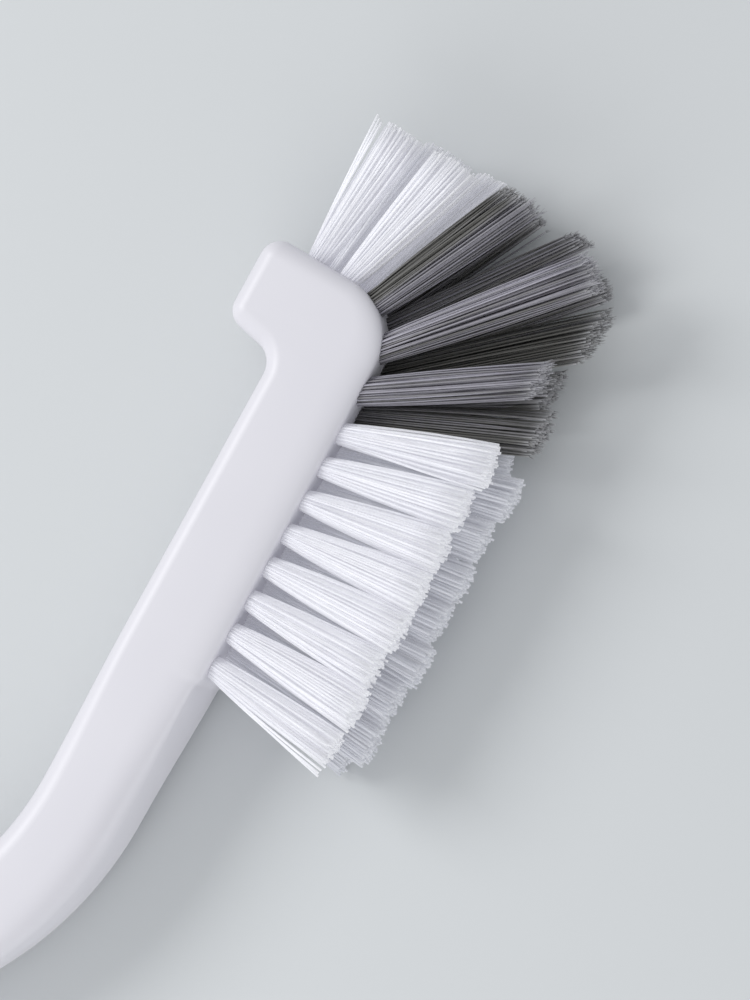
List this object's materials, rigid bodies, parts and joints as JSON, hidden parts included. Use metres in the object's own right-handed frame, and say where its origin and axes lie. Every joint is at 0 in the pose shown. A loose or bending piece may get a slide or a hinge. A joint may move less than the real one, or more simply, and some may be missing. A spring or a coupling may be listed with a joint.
{
  "type": "sink brush",
  "caption": "Long-handled sink brush with a square hook above its head and tufts of bristles in rows along the underside, round the nose and up the front.",
  "frame": {"origin": "middle of the underside of the whole brush, lying on its left side", "axes": "+X from the end of the handle to the nose, +Y from the bristles to the hook, +Z out of the brush's right side"},
  "size_m": [0.2532, 0.0878, 0.02],
  "materials": {
    "body_white": "satin",
    "bristle_white": "satin",
    "bristle_grey": "satin"
  },
  "bodies": {
    "root": {"brush_body": "body_white", "tuft_left_front_1": "bristle_white", "tuft_left_front_2": "bristle_white", "tuft_left_nose_1": "bristle_grey", "tuft_left_nose_2": "bristle_grey", "tuft_left_nose_3": "bristle_grey", "tuft_left_underside_1": "bristle_white", "tuft_left_underside_2": "bristle_white", "tuft_left_underside_3": "bristle_white", "tuft_left_underside_4": "bristle_white", "tuft_left_underside_5": "bristle_white", "tuft_left_underside_6": "bristle_white", "tuft_left_underside_7": "bristle_white", "tuft_left_underside_8": "bristle_white", "tuft_middle_front_1": "bristle_white", "tuft_middle_front_2": "bristle_white", "tuft_middle_nose_1": "bristle_grey", "tuft_middle_nose_2": "bristle_grey", "tuft_middle_nose_3": "bristle_grey", "tuft_middle_underside_1": "bristle_white", "tuft_middle_underside_2": "bristle_white", "tuft_middle_underside_3": "bristle_white", "tuft_middle_underside_4": "bristle_white", "tuft_middle_underside_5": "bristle_white", "tuft_middle_underside_6": "bristle_white", "tuft_middle_underside_7": "bristle_white", "tuft_right_front_1": "bristle_white", "tuft_right_front_2": "bristle_white", "tuft_right_nose_1": "bristle_grey", "tuft_right_nose_2": "bristle_grey", "tuft_right_nose_3": "bristle_grey", "tuft_right_underside_1": "bristle_white", "tuft_right_underside_2": "bristle_white", "tuft_right_underside_3": "bristle_white", "tuft_right_underside_4": "bristle_white", "tuft_right_underside_5": "bristle_white", "tuft_right_underside_6": "bristle_white", "tuft_right_underside_7": "bristle_white", "tuft_right_underside_8": "bristle_white"}
  },
  "joints": []
}
